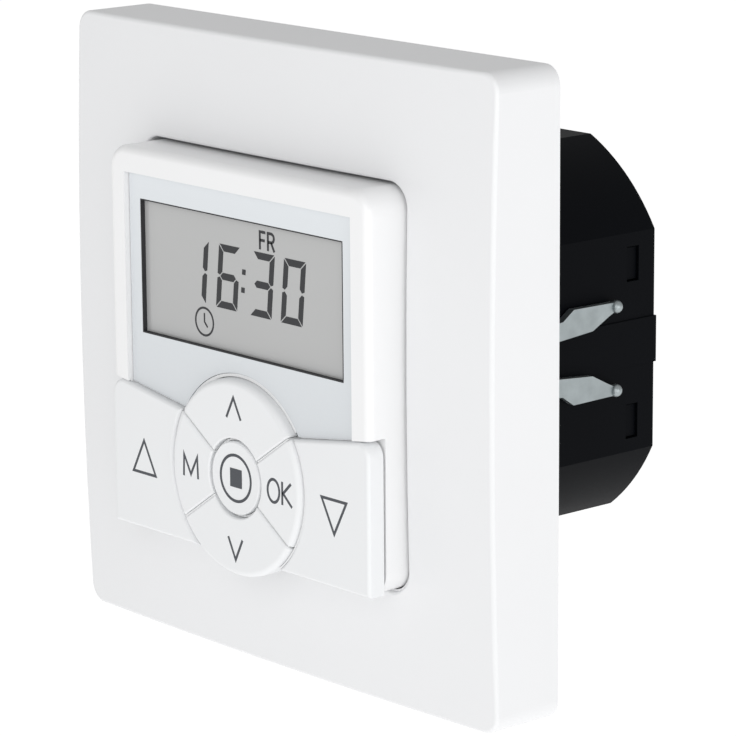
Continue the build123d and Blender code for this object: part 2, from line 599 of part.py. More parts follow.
# --- Control unit housing: bezel above, key bed below ---
unit_half = UNIT_SIDE / 2
post_places = [(x, z) for x in (-SCREW_POST_PLACE, SCREW_POST_PLACE) for z in (-SCREW_POST_PLACE, SCREW_POST_PLACE)]
panel_back = PANEL_FACE - PANEL_THICKNESS
lcd_centre = SCREEN_CENTRE
with BuildPart() as control_housing:
    with BuildSketch(at_height(UNIT_BACK)):
        RectangleRounded(UNIT_SIDE, UNIT_SIDE, UNIT_CORNER)
    extrude(amount=UNIT_FRONT - UNIT_BACK)
    fillet(control_housing.faces().sort_by(Axis.Y)[0].edges(), UNIT_EDGE_ROUND)
    with BuildSketch(at_height(KEY_BED)):
        with BuildLine():
            Polyline(
                (-unit_half - 1, key_line(unit_half + 1)),
                (0, key_line(0)),
                (unit_half + 1, key_line(unit_half + 1)),
                (unit_half + 1, -unit_half - 1),
                (-unit_half - 1, -unit_half - 1),
                close=True,
            )
        make_face()
        with Locations((0, PAD_CENTRE)):
            Circle(PAD_RECESS_RADIUS)
    extrude(amount=UNIT_FRONT, mode=Mode.SUBTRACT)
    with BuildSketch(at_height(panel_back)):
        with Locations((0, PANEL_TOP / 2)):
            Rectangle(2 * PANEL_HALF_WIDTH, PANEL_TOP)
        with Locations((0, -unit_half / 2)):
            Rectangle(2 * PANEL_HALF_WIDTH, unit_half)
    extrude(amount=UNIT_FRONT, mode=Mode.SUBTRACT)
    inside_side = UNIT_SIDE - 2 * UNIT_WALL
    with BuildSketch(at_height(UNIT_BACK)):
        RectangleRounded(inside_side, inside_side, UNIT_CORNER - UNIT_WALL)
    extrude(amount=UNIT_CAVITY_TOP - UNIT_BACK, mode=Mode.SUBTRACT)
    with BuildSketch(at_height(CONTROL_BOARD_HEIGHT + BOARD_THICKNESS)):
        with Locations(*post_places):
            Circle(SCREW_POST_RADIUS)
    extrude(amount=UNIT_CAVITY_TOP - CONTROL_BOARD_HEIGHT - BOARD_THICKNESS)
    with BuildSketch(at_height(CONTROL_BOARD_HEIGHT + BOARD_THICKNESS)):
        with Locations(*post_places):
            Circle(UNIT_SCREW_RADIUS)
    extrude(amount=4.0, mode=Mode.SUBTRACT)
    with BuildSketch(at_height(UNIT_CAVITY_TOP)):
        with Locations((0, lcd_centre)):
            Rectangle(LCD_WIDTH + LCD_GAP, LCD_HEIGHT + LCD_GAP)
        with Locations(*KEY_PLACES.values()):
            Circle(STEM_GUIDE_RADIUS)
    extrude(amount=UNIT_FRONT, mode=Mode.SUBTRACT)
control_housing.part.label = "control_housing"
export_step(control_housing.part, "parts/control_housing.step")

# --- Rear cover of the control unit ---
cover_side = UNIT_SIDE - 2 * UNIT_WALL - 0.2
with BuildPart() as control_rear_cover:
    with BuildSketch(at_height(UNIT_BACK)):
        RectangleRounded(cover_side, cover_side, UNIT_CORNER - UNIT_WALL - 0.1)
        Rectangle(header_length + 0.4, header_width + 0.4, mode=Mode.SUBTRACT)
    extrude(amount=1.4)
    with BuildSketch(at_height(UNIT_BACK + 1.4)):
        with Locations(*post_places):
            Circle(SCREW_POST_RADIUS)
    extrude(amount=CONTROL_BOARD_HEIGHT - UNIT_BACK - 1.4)
    with BuildSketch(at_height(UNIT_BACK)):
        with Locations(*post_places):
            Circle(UNIT_SCREW_RADIUS + 0.15)
    extrude(amount=CONTROL_BOARD_HEIGHT - UNIT_BACK, mode=Mode.SUBTRACT)
    with BuildSketch(at_height(UNIT_BACK)):
        with Locations(*post_places):
            Circle(UNIT_SCREW_HEAD_RADIUS + 0.1)
    extrude(amount=1.0, mode=Mode.SUBTRACT)
control_rear_cover.part.label = "control_rear_cover"
export_step(control_rear_cover.part, "parts/control_rear_cover.step")

for number, place in enumerate(post_places, start=1):
    with BuildPart() as unit_screw:
        with BuildSketch(at_height(UNIT_BACK + 0.1)):
            with Locations(place):
                Circle(UNIT_SCREW_HEAD_RADIUS)
        extrude(amount=0.9)
        with BuildSketch(at_height(UNIT_BACK + 1.0)):
            with Locations(place):
                Circle(UNIT_SCREW_RADIUS)
        extrude(amount=CONTROL_BOARD_HEIGHT + BOARD_THICKNESS + 3.6 - UNIT_BACK - 1.0)
        with BuildSketch(at_height(UNIT_BACK + 0.1)):
            with Locations(place):
                Rectangle(2.4, 0.6)
                Rectangle(0.6, 2.4)
        extrude(amount=0.6, mode=Mode.SUBTRACT)
    unit_screw.part.label = f"unit_screw_{number}"
    export_step(unit_screw.part, f"parts/unit_screw_{number}.step")

# --- Control board, its switches and its larger components ---
with BuildPart() as control_board:
    with BuildSketch(at_height(CONTROL_BOARD_HEIGHT)):
        RectangleRounded(CONTROL_BOARD_SIDE, CONTROL_BOARD_SIDE, 1.2)
        with Locations(*post_places):
            Circle(UNIT_SCREW_RADIUS + 0.15, mode=Mode.SUBTRACT)
    extrude(amount=BOARD_THICKNESS)
control_board.part.label = "control_board"
export_step(control_board.part, "parts/control_board.step")

board_front = CONTROL_BOARD_HEIGHT + BOARD_THICKNESS
for name, place in KEY_PLACES.items():
    with BuildPart() as tact_switch:
        with BuildSketch(at_height(board_front)):
            with Locations(place):
                RectangleRounded(SWITCH_SIDE, SWITCH_SIDE, 0.3)
        extrude(amount=SWITCH_HEIGHT)
        with BuildSketch(at_height(board_front + SWITCH_HEIGHT)):
            with Locations(place):
                Circle(SWITCH_TIP_RADIUS)
        extrude(amount=SWITCH_TIP_HEIGHT)
    tact_switch.part.label = f"switch_{name}"
    export_step(tact_switch.part, f"parts/switch_{name}.step")

with BuildPart() as microcontroller:
    with BuildSketch(at_height(board_front)):
        with Locations((9.0, 9.0)):
            Rectangle(10.0, 10.0)
    extrude(amount=1.4)
    chamfer(microcontroller.faces().sort_by(Axis.Y)[0].edges(), 0.3)
microcontroller.part.label = "microcontroller"
export_step(microcontroller.part, "parts/microcontroller.step")

with BuildPart() as backup_cell:
    with BuildSketch(at_height(board_front)):
        with Locations((-11.0, 9.0)):
            Circle(5.4)
    extrude(amount=3.6)
    fillet(backup_cell.faces().sort_by(Axis.Y)[0].edges(), 0.4)
backup_cell.part.label = "backup_cell"
export_step(backup_cell.part, "parts/backup_cell.step")

# --- Display: glass, light guide, contact strips and the panel in front ---
lcd_back = panel_back - LCD_THICKNESS
with BuildPart() as lcd_glass:
    with BuildSketch(at_height(lcd_back)):
        with Locations((0, lcd_centre)):
            Rectangle(LCD_WIDTH, LCD_HEIGHT)
    extrude(amount=LCD_THICKNESS)
lcd_glass.part.label = "lcd_glass"
export_step(lcd_glass.part, "parts/lcd_glass.step")

with BuildPart() as light_guide:
    with BuildSketch(at_height(UNIT_CAVITY_TOP)):
        with Locations((0, lcd_centre)):
            Rectangle(LCD_WIDTH, LCD_HEIGHT - 2 * ZEBRA_WIDTH - 0.8)
    extrude(amount=lcd_back - UNIT_CAVITY_TOP)
light_guide.part.label = "light_guide"
export_step(light_guide.part, "parts/light_guide.step")

for side, name in ((1, "upper"), (-1, "lower")):
    with BuildPart() as contact_strip:
        with BuildSketch(at_height(board_front)):
            with Locations((0, lcd_centre + side * (LCD_HEIGHT - ZEBRA_WIDTH) / 2)):
                Rectangle(ZEBRA_LENGTH, ZEBRA_WIDTH)
        extrude(amount=lcd_back - board_front)
    contact_strip.part.label = f"contact_strip_{name}"
    export_step(contact_strip.part, f"parts/contact_strip_{name}.step")

with BuildPart() as display_panel:
    with BuildSketch(at_height(panel_back)):
        with BuildLine():
            across = PANEL_HALF_WIDTH - PANEL_GAP
            Polyline(
                (-across, PANEL_TOP - PANEL_GAP),
                (across, PANEL_TOP - PANEL_GAP),
                (across, key_line(across)),
                (0, key_line(0)),
                (-across, key_line(across)),
                close=True,
            )
        make_face()
        with Locations((0, PAD_CENTRE)):
            Circle(PAD_RECESS_RADIUS + 0.05, mode=Mode.SUBTRACT)
        with Locations((0, SCREEN_CENTRE)):
            RectangleRounded(SCREEN_WIDTH, SCREEN_HEIGHT, SCREEN_CORNER, mode=Mode.SUBTRACT)
    extrude(amount=PANEL_THICKNESS)
display_panel.part.label = "display_panel"
export_step(display_panel.part, "parts/display_panel.step")

# --- The two large keys, open and close ---
for side, name in ((-1, "up"), (1, "down")):
    with BuildPart() as key:
        with BuildSketch(at_height(KEY_UNDERSIDE)) as key_plan:
            with BuildLine():
                Polyline(
                    (0, key_line(0) - KEY_GAP),
                    (side * unit_half, key_line(unit_half) - KEY_GAP),
                    (side * unit_half, KEY_BOTTOM),
                    (0, KEY_BOTTOM),
                    close=True,
                )
            make_face()
            with Locations((0, PAD_CENTRE)):
                Circle(KEY_CUT_RADIUS, mode=Mode.SUBTRACT)
            outer = key_plan.vertices().group_by(Axis.X)[-1 if side > 0 else 0]
            fillet(outer.sort_by(Axis.Z)[0], KEY_CORNER)
        extrude(amount=KEY_FACE - KEY_UNDERSIDE)
        fillet(key.faces().sort_by(Axis.Y)[0].edges(), KEY_ROUND)
        with BuildSketch(at_height(STEM_END)):
            with Locations(KEY_PLACES[name]):
                Circle(STEM_RADIUS)
        extrude(amount=KEY_UNDERSIDE - STEM_END)
    key.part.label = f"{name}_key"
    export_step(key.part, f"parts/{name}_key.step")

# --- Round pad: four sector keys round the stop button ---
for name, middle in (("ok", 0), ("pad_up", 90), ("menu", 180), ("pad_down", 270)):
    half_angle = PAD_SPLIT_ANGLE if middle in (0, 180) else 90 - PAD_SPLIT_ANGLE
    with BuildPart() as pad_key:
        with BuildSketch(at_height(PAD_UNDERSIDE)):
            with Locations((0, PAD_CENTRE)):
                Circle(PAD_RADIUS)
                Circle(PAD_INNER_RADIUS, mode=Mode.SUBTRACT)
            with BuildLine():
                far = 2 * PAD_RADIUS
                start = math.radians(middle - half_angle)
                end = math.radians(middle + half_angle)
                Polyline(
                    (0, PAD_CENTRE),
                    (far * math.cos(start), PAD_CENTRE + far * math.sin(start)),
                    (far * math.cos(math.radians(middle)), PAD_CENTRE + far * math.sin(math.radians(middle))),
                    (far * math.cos(end), PAD_CENTRE + far * math.sin(end)),
                    close=True,
                )
            make_face(mode=Mode.INTERSECT)
            with Locations((0, PAD_CENTRE)):
                Rectangle(3 * PAD_RADIUS, PAD_GROOVE, rotation=PAD_SPLIT_ANGLE, mode=Mode.SUBTRACT)
                Rectangle(3 * PAD_RADIUS, PAD_GROOVE, rotation=-PAD_SPLIT_ANGLE, mode=Mode.SUBTRACT)
        extrude(amount=PAD_FACE - PAD_UNDERSIDE)
        rim = pad_key.faces().sort_by(Axis.Y)[0].edges().filter_by(GeomType.CIRCLE).sort_by(Edge.length)[-1]
        fillet(rim, PAD_ROUND)
        fillet(pad_key.faces().sort_by(Axis.Y)[0].edges(), PAD_GROOVE_ROUND)
        with BuildSketch(at_height(STEM_END)):
            with Locations(KEY_PLACES[name]):
                Circle(STEM_RADIUS)
        extrude(amount=PAD_UNDERSIDE - STEM_END)
    pad_key.part.label = f"{name}_button"
    export_step(pad_key.part, f"parts/{name}_button.step")

with BuildPart() as stop_button:
    with BuildSketch(at_height(PAD_UNDERSIDE)):
        with Locations((0, PAD_CENTRE)):
            Circle(STOP_RADIUS)
    extrude(amount=STOP_FACE - PAD_UNDERSIDE)
    fillet(stop_button.faces().sort_by(Axis.Y)[0].edges(), 0.35)
    dish_depth = 0.18
    with Locations((0, -STOP_FACE - STOP_DISH_RADIUS + dish_depth, PAD_CENTRE)):
        Sphere(STOP_DISH_RADIUS, mode=Mode.SUBTRACT)
    with BuildSketch(at_height(STEM_END)):
        with Locations((0, PAD_CENTRE)):
            Circle(STEM_RADIUS)
    extrude(amount=PAD_UNDERSIDE - STEM_END)
stop_button.part.label = "stop_button"
export_step(stop_button.part, "parts/stop_button.step")
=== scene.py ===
"""Looks of a flush-mounted wall timer with a white cover frame, a display, seven keys and a black insert."""

import logging
import math
from dataclasses import dataclass
from enum import Enum

import bpy
import numpy as np
from mathutils import Matrix, Vector


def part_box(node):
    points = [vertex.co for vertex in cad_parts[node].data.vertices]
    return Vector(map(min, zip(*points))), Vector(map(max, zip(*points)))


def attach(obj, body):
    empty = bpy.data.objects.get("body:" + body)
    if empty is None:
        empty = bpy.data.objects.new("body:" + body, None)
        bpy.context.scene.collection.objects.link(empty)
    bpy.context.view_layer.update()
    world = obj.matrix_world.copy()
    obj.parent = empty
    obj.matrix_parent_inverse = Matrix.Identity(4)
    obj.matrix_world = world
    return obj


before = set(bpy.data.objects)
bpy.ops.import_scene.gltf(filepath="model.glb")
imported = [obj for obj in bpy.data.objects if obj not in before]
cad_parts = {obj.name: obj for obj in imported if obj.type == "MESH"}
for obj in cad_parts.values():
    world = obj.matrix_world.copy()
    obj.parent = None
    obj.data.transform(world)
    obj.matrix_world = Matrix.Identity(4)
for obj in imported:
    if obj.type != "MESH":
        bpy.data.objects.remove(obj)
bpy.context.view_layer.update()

MM = 0.001
SHARPEST_MITRE = 0.3
LOG = logging.getLogger("wall_timer")


# --------------------------------------------------------------------------------------------------
# Shader building
# --------------------------------------------------------------------------------------------------


class Signal:
    """A shader socket that can be used in Python expressions; each operator adds a Math node."""

    def __init__(self, shader: "Shader", socket: bpy.types.NodeSocket) -> None:
        """Wraps a socket.

        Args:
            shader: The shader that the socket belongs to.
            socket: The output socket.
        """
        self.shader = shader
        self.socket = socket

    def _math(self, operation: str, first: "Signal | float", second: "Signal | float") -> "Signal":
        """Adds one Math node.

        Args:
            operation: Name of the Math operation.
            first: First operand.
            second: Second operand.

        Returns:
            The result.
        """
        return self.shader.add("ShaderNodeMath", {"operation": operation}, {0: first, 1: second})

    def __add__(self, other: "Signal | float") -> "Signal":
        """Sum."""
        return self._math("ADD", self, other)

    __radd__ = __add__

    def __mul__(self, other: "Signal | float") -> "Signal":
        """Product."""
        return self._math("MULTIPLY", self, other)

    __rmul__ = __mul__

    def __sub__(self, other: "Signal | float") -> "Signal":
        """Difference."""
        return self._math("SUBTRACT", self, other)

    def __rsub__(self, other: float) -> "Signal":
        """Difference with this signal taken away."""
        return self._math("SUBTRACT", other, self)

    def __gt__(self, other: "Signal | float") -> "Signal":
        """One where this signal is larger, otherwise zero."""
        return self._math("GREATER_THAN", self, other)

    def __lt__(self, other: "Signal | float") -> "Signal":
        """One where this signal is smaller, otherwise zero."""
        return self._math("LESS_THAN", self, other)

    def absolute(self) -> "Signal":
        """Absolute value."""
        return self._math("ABSOLUTE", self, 0.0)

    def sine(self) -> "Signal":
        """Sine."""
        return self._math("SINE", self, 0.0)

    def angle(self, other: "Signal") -> "Signal":
        """Angle of the point whose height is this signal and whose width is the other."""
        return self._math("ARCTAN2", self, other)


class Shader:
    """A node material under construction, read in Object coordinates."""

    def __init__(self, name: str) -> None:
        """Starts a material with one Principled shader.

        Args:
            name: Name of the material.
        """
        self.material = bpy.data.materials.new(name)
        self.material.use_nodes = True
        self.tree = self.material.node_tree
        self.tree.nodes.clear()
        self.output = self.tree.nodes.new("ShaderNodeOutputMaterial")
        self.surface = self.tree.nodes.new("ShaderNodeBsdfPrincipled")
        self.tree.links.new(self.surface.outputs[0], self.output.inputs["Surface"])
        self._place: Signal | None = None

    def add(self, kind: str, settings: dict, inputs: dict, output: int | str = 0) -> Signal:
        """Adds one node.

        Args:
            kind: Node type.
            settings: Properties to set before the sockets, with a ramp's stops under "stops".
            inputs: Values or signals by socket name or index.
            output: Output socket to return.

        Returns:
            The chosen output.
        """
        node = self.tree.nodes.new(kind)
        stops = settings.get("stops")
        for key, value in settings.items():
            if key != "stops":
                setattr(node, key, value)
        if stops:
            ramp = node.color_ramp
            while len(ramp.elements) < len(stops):
                ramp.elements.new(0.5)
            for element, (position, shade) in zip(ramp.elements, stops):
                element.position = position
                element.color = (shade, shade, shade, 1.0)
        for key, value in inputs.items():
            self._feed(node.inputs[key], value)
        return Signal(self, node.outputs[output])

    def _feed(self, socket: bpy.types.NodeSocket, value: object) -> None:
        """Links a signal to a socket or sets the socket's value."""
        if isinstance(value, Signal):
            self.tree.links.new(value.socket, socket)
        else:
            socket.default_value = value

    @property
    def place(self) -> Signal:
        """Object coordinates in metres."""
        if self._place is None:
            self._place = self.add("ShaderNodeTexCoord", {}, {}, "Object")
        return self._place

    def axes(self, centre: tuple[float, float, float] = (0.0, 0.0, 0.0)) -> tuple[Signal, Signal, Signal]:
        """Object coordinates split into X, Y and Z.

        Args:
            centre: Point that becomes zero, in metres.

        Returns:
            The three coordinates.
        """
        shift = tuple(-value for value in centre)
        moved = self.add("ShaderNodeMapping", {}, {"Vector": self.place, "Location": shift})
        split = self.add("ShaderNodeSeparateXYZ", {}, {0: moved}, 0)
        node = split.socket.node
        return split, Signal(self, node.outputs[1]), Signal(self, node.outputs[2])

    def noise(
        self, size: float, detail: float = 2.0, stretch: tuple[float, float, float] = (1, 1, 1)
    ) -> Signal:
        """Smooth noise.

        Args:
            size: Size of its features in metres.
            detail: Number of finer octaves.
            stretch: Scale along each axis.

        Returns:
            Values round one half.
        """
        scaled = self.add("ShaderNodeMapping", {}, {"Vector": self.place, "Scale": stretch})
        return self.add("ShaderNodeTexNoise", {}, {"Vector": scaled, "Scale": 1.0 / size, "Detail": detail})

    def blend(self, mask: Signal | float, low: tuple | Signal, high: tuple | Signal) -> Signal:
        """Mixes two colours.

        Args:
            mask: Zero gives the first colour, one the second.
            low: First colour.
            high: Second colour.

        Returns:
            The mixed colour.
        """
        settings = {"data_type": "RGBA"}
        return self.add("ShaderNodeMix", settings, {"Factor": mask, 6: low, 7: high}, 2)

    def bump(self, height: Signal, depth: float, strength: float = 1.0) -> Signal:
        """Turns a height into a normal.

        Args:
            height: Height from zero to one.
            depth: Depth of the relief in metres.
            strength: How far the relief shows.

        Returns:
            The normal.
        """
        return self.add("ShaderNodeBump", {}, {"Strength": strength, "Distance": depth, "Height": height})

    def set(self, **values: object) -> None:
        """Sets or links sockets of the Principled shader, named with underscores for spaces."""
        for key, value in values.items():
            self._feed(self.surface.inputs[key.replace("_", " ")], value)


def tinted(colour: tuple[float, float, float], gain: float) -> tuple[float, float, float, float]:
    """Colour made lighter or darker.

    Args:
        colour: Linear red, green and blue.
        gain: Factor for all three.

    Returns:
        Colour with an alpha of one.
    """
    return tuple(min(1.0, channel * gain) for channel in colour) + (1.0,)


@dataclass(frozen=True)
class MouldedPlastic:
    """Injection-moulded plastic with a fine spark-eroded grain."""

    name: str
    colour: tuple[float, float, float]
    roughness: float = 0.4
    spread: float = 0.02
    grain: float = 0.25 * MM
    depth: float = 0.004 * MM
    coat: float = 0.0
    shine: float = 0.5

    def build(self) -> bpy.types.Material:
        """Builds the material."""
        shader = Shader(self.name)
        cloud = shader.noise(14 * MM, 2.0)
        fine = shader.noise(self.grain, 1.5)
        shader.set(
            Base_Color=shader.blend(
                cloud, tinted(self.colour, 1 - self.spread), tinted(self.colour, 1 + self.spread)
            ),
            Roughness=(fine - 0.5) * 0.08 + (cloud - 0.5) * 0.06 + self.roughness,
            Specular_IOR_Level=self.shine,
            Coat_Weight=self.coat,
            Coat_Roughness=0.08,
            Normal=shader.bump(fine, self.depth),
        )
        return shader.material


@dataclass(frozen=True)
class PlatedSteel:
    """Zinc-plated sheet steel: a soft metallic sheen with faint rolling lines and darker spots."""

    name: str
    colour: tuple[float, float, float] = (0.36, 0.40, 0.41)
    roughness: float = 0.34

    def build(self) -> bpy.types.Material:
        """Builds the material."""
        shader = Shader(self.name)
        rolled = shader.noise(0.5 * MM, 2.0, (1.0, 0.12, 1.0))
        spots = shader.noise(2.4 * MM, 4.0)
        dull = shader.add("ShaderNodeValToRGB", {"stops": [(0.35, 0.0), (0.7, 1.0)]}, {0: spots})
        shader.set(
            Base_Color=shader.blend(dull, tinted(self.colour, 0.9), tinted(self.colour, 1.06)),
            Metallic=0.9,
            Roughness=(rolled - 0.5) * 0.16 + (1 - dull) * 0.07 + self.roughness,
            Normal=shader.bump(rolled, 0.006 * MM),
        )
        return shader.material


@dataclass(frozen=True)
class ThreadedSteel:
    """Plated screw: a metal whose shank has a thread of the given pitch."""

    name: str
    axis_x: float
    pitch: float
    head_front: float

    def build(self) -> bpy.types.Material:
        """Builds the material; the thread is a sine of the turn about the axis plus the way along it."""
        shader = Shader(self.name)
        across, along, up = shader.axes((self.axis_x, 0.0, 0.0))
        turn = up.angle(across)
        wave = (turn + along * (2 * math.pi / self.pitch)).sine() * 0.5 + 0.5
        shank = along > self.head_front
        scratches = shader.noise(0.4 * MM, 3.0)
        shader.set(
            Base_Color=shader.blend(scratches, (0.50, 0.51, 0.50, 1), (0.68, 0.69, 0.67, 1)),
            Metallic=0.95,
            Roughness=scratches * 0.12 + 0.26,
            Normal=shader.bump(wave * shank, 0.22 * MM),
        )
        return shader.material


@dataclass(frozen=True)
class PinHeader:
    """Black header body in front with tin-plated pins behind it."""

    name: str
    body_back: float
    body_colour: tuple[float, float, float] = (0.014, 0.014, 0.016)
    pin_colour: tuple[float, float, float] = (0.62, 0.60, 0.55)

    def build(self) -> bpy.types.Material:
        """Builds the material; everything behind the body's back is a pin."""
        shader = Shader(self.name)
        _, along, _ = shader.axes()
        pins = along > self.body_back
        fine = shader.noise(0.3 * MM, 2.0)
        shader.set(
            Base_Color=shader.blend(pins, tinted(self.body_colour, 1.0), tinted(self.pin_colour, 1.0)),
            Metallic=pins * 0.95,
            Roughness=fine * 0.1 + 0.32,
            Normal=shader.bump(fine, 0.003 * MM),
        )
        return shader.material


@dataclass(frozen=True)
class CircuitBoard:
    """Green solder mask over copper tracks, which show as slightly raised and lighter lines."""

    name: str
    weave_rate: float = 5200.0

    def build(self) -> bpy.types.Material:
        """Builds the material."""
        shader = Shader(self.name)
        across, _, up = shader.axes()
        tracks = (shader.noise(3.0 * MM, 0.0, (1.0, 1.0, 0.22)) - 0.5).absolute() < 0.03
        ways = (shader.noise(3.4 * MM, 0.0, (0.2, 1.0, 1.0)) - 0.5).absolute() < 0.025
        copper = (tracks + ways) > 0.5
        weave = ((across * self.weave_rate).sine() * (up * self.weave_rate).sine()) * 0.5 + 0.5
        shader.set(
            Base_Color=shader.blend(copper, (0.012, 0.085, 0.035, 1), (0.03, 0.17, 0.06, 1)),
            Roughness=weave * 0.05 + 0.28,
            Coat_Weight=0.3,
            Coat_Roughness=0.15,
            Normal=shader.bump(copper + weave * 0.1, 0.02 * MM),
        )
        return shader.material


@dataclass(frozen=True)
class ScreenGlass:
    """Reflective liquid-crystal display: grey with a faint fall of light and a fine cell grid."""

    name: str
    low_edge: float
    high_edge: float
    foot_colour: tuple[float, float, float, float] = (0.42, 0.422, 0.422, 1)
    top_colour: tuple[float, float, float, float] = (0.475, 0.478, 0.475, 1)
    cell_colour: tuple[float, float, float, float] = (0.36, 0.37, 0.37, 1)
    cell_rate: float = 21000.0

    def build(self) -> bpy.types.Material:
        """Builds the material."""
        shader = Shader(self.name)
        across, _, up = shader.axes()
        rise = (up - self.low_edge) * (1.0 / (self.high_edge - self.low_edge))
        cloud = shader.noise(22 * MM, 1.0)
        grid = ((across * self.cell_rate).sine() * (up * self.cell_rate).sine()) * 0.5 + 0.5
        shade = shader.blend(rise * 0.55 + cloud * 0.45, self.foot_colour, self.top_colour)
        shader.set(
            Base_Color=shader.blend(grid * 0.05, shade, self.cell_colour),
            Roughness=cloud * 0.04 + 0.22,
            Coat_Weight=0.25,
            Coat_Roughness=0.12,
            Normal=shader.bump(grid, 0.0008 * MM),
        )
        return shader.material


@dataclass(frozen=True)
class PanelFilm:
    """Printed film behind a gloss surface: pale blue-grey, with painted shade that makes it slightly darker
    towards its foot.
    """

    name: str
    colour: tuple[float, float, float]
    low_edge: float
    high_edge: float

    def build(self) -> bpy.types.Material:
        """Builds the material."""
        shader = Shader(self.name)
        _, _, up = shader.axes()
        rise = (up - self.low_edge) * (1.0 / (self.high_edge - self.low_edge))
        speck = shader.noise(0.35 * MM, 2.0)
        # painted shade: the film's colour darkens towards its foot and lightens towards its top
        painted_shade_tone = shader.blend(rise, tinted(self.colour, 0.93), tinted(self.colour, 1.05))
        shader.set(
            Base_Color=shader.blend(speck * 0.12, painted_shade_tone, tinted(self.colour, 1.12)),
            Roughness=speck * 0.05 + 0.2,
            Coat_Weight=0.6,
            Coat_Roughness=0.05,
            Normal=shader.bump(speck, 0.0006 * MM),
        )
        return shader.material


@dataclass(frozen=True)
class Ink:
    """Printed ink or an energised display segment."""

    name: str
    colour: tuple[float, float, float]
    roughness: float = 0.5

    def build(self) -> bpy.types.Material:
        """Builds the material."""
        shader = Shader(self.name)
        speck = shader.noise(0.12 * MM, 2.0)
        shader.set(
            Base_Color=shader.blend(speck, tinted(self.colour, 0.85), tinted(self.colour, 1.2)),
            Roughness=speck * 0.1 + self.roughness,
            Normal=shader.bump(speck, 0.001 * MM),
        )
        return shader.material


# --------------------------------------------------------------------------------------------------
# Surfaces
# --------------------------------------------------------------------------------------------------


def at_height(flat: np.ndarray, height: np.ndarray | float) -> np.ndarray:
    """Places plan points in front of the wall.

    Args:
        flat: Points as rows of (across, up) in millimetres.
        height: Distance in front of the wall in millimetres.

    Returns:
        Points in metres, with the front towards -Y.
    """
    heights = np.broadcast_to(height, flat.shape[:-1])
    return np.stack([flat[..., 0], -heights, flat[..., 1]], axis=-1) * MM


class Join(Enum):
    """How a stroke ends."""

    OPEN = "open"
    CLOSED = "closed"


def stroke(
    path: np.ndarray, width: float, low: float, high: float, join: Join
) -> tuple[np.ndarray, list]:
    """Flat bar of a constant width along a path.

    A rectangular profile (width by height) is carried along the path. At each corner the two edges
    move out along the mitre by half the width over the cosine of half the turn.

    Args:
        path: Centre line as rows of (across, up) in millimetres.
        width: Width of the bar in millimetres.
        low: Height of its underside in millimetres.
        high: Height of its face in millimetres.
        join: Whether the last point joins the first.

    Returns:
        Vertices in metres and faces.
    """
    count = len(path)
    ahead = np.roll(path, -1, axis=0) - path
    if join is Join.OPEN:
        ahead[-1] = ahead[-2]
    ahead /= np.linalg.norm(ahead, axis=1, keepdims=True)
    behind = np.roll(ahead, 1, axis=0)
    if join is Join.OPEN:
        behind[0] = ahead[0]
    normal_ahead = np.stack([-ahead[:, 1], ahead[:, 0]], axis=1)
    normal_behind = np.stack([-behind[:, 1], behind[:, 0]], axis=1)
    mitre = normal_ahead + normal_behind
    mitre /= np.linalg.norm(mitre, axis=1, keepdims=True)
    half_turn = (mitre * normal_ahead).sum(axis=1, keepdims=True)
    reach = width / 2 / np.clip(half_turn, SHARPEST_MITRE, 1.0)
    left, right = path + mitre * reach, path - mitre * reach
    corners = [at_height(left, high), at_height(right, high), at_height(right, low), at_height(left, low)]
    rings = np.stack(corners, 1)
    spans = count if join is Join.CLOSED else count - 1
    first = np.arange(spans)[:, None] * 4
    second = (np.arange(spans)[:, None] + 1) % count * 4
    side = np.arange(4)[None, :]
    after = (side + 1) % 4
    quads = [first + side, first + after, second + after, second + side]
    faces = np.stack(quads, axis=-1).reshape(-1, 4).tolist()
    if join is Join.OPEN:
        last = (count - 1) * 4
        faces.append([3, 2, 1, 0])
        faces.append([last, last + 1, last + 2, last + 3])
    return rings.reshape(-1, 3), faces


def slab(outline: np.ndarray, low: float, high: float) -> tuple[np.ndarray, list]:
    """Thin plate with the given outline: two copies of the outline joined by quads.

    Args:
        outline: Corners in anticlockwise order as rows of (across, up) in millimetres.
        low: Height of its underside in millimetres.
        high: Height of its face in millimetres.

    Returns:
        Vertices in metres and faces.
    """
    count = len(outline)
    points = np.concatenate([at_height(outline, high), at_height(outline, low)])
    index = np.arange(count)
    after = (index + 1) % count
    sides = np.stack([index, index + count, after + count, after], axis=1).tolist()
    return points, [index.tolist(), (index[::-1] + count).tolist(), *sides]


def merged(parts: list[tuple[np.ndarray, list]]) -> tuple[np.ndarray, list]:
    """Several surfaces as one.

    Args:
        parts: Vertices and faces of each.

    Returns:
        All vertices and faces, renumbered.
    """
    points, faces, offset = [], [], 0
    for vertices, polygons in parts:
        points.append(vertices)
        faces.extend([[corner + offset for corner in polygon] for polygon in polygons])
        offset += len(vertices)
    return np.concatenate(points), faces


def make_piece(
    name: str, surface: tuple[np.ndarray, list], material: bpy.types.Material, body: str
) -> None:
    """Makes a piece from a surface and lets it ride on a body.

    Args:
        name: Name of the piece.
        surface: Vertices in metres and faces.
        material: Its finish.
        body: Body that carries it.
    """
    mesh = bpy.data.meshes.new(name)
    mesh.from_pydata(surface[0].tolist(), [], surface[1])
    mesh.materials.append(material)
    mesh.validate()
    mesh.update()
    piece = bpy.data.objects.new(name, mesh)
    bpy.context.collection.objects.link(piece)
    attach(piece, body)
    LOG.info("%s: %d vertices, rides on %s", name, len(mesh.vertices), body)


def circle(centre: tuple[float, float], radius: float, count: int = 64) -> np.ndarray:
    """Points on a circle: centre plus radius times the cosine and sine of an even run of angles."""
    turn = np.linspace(0, 2 * np.pi, count, endpoint=False)
    return np.array(centre) + radius * np.stack([np.cos(turn), np.sin(turn)], axis=1)


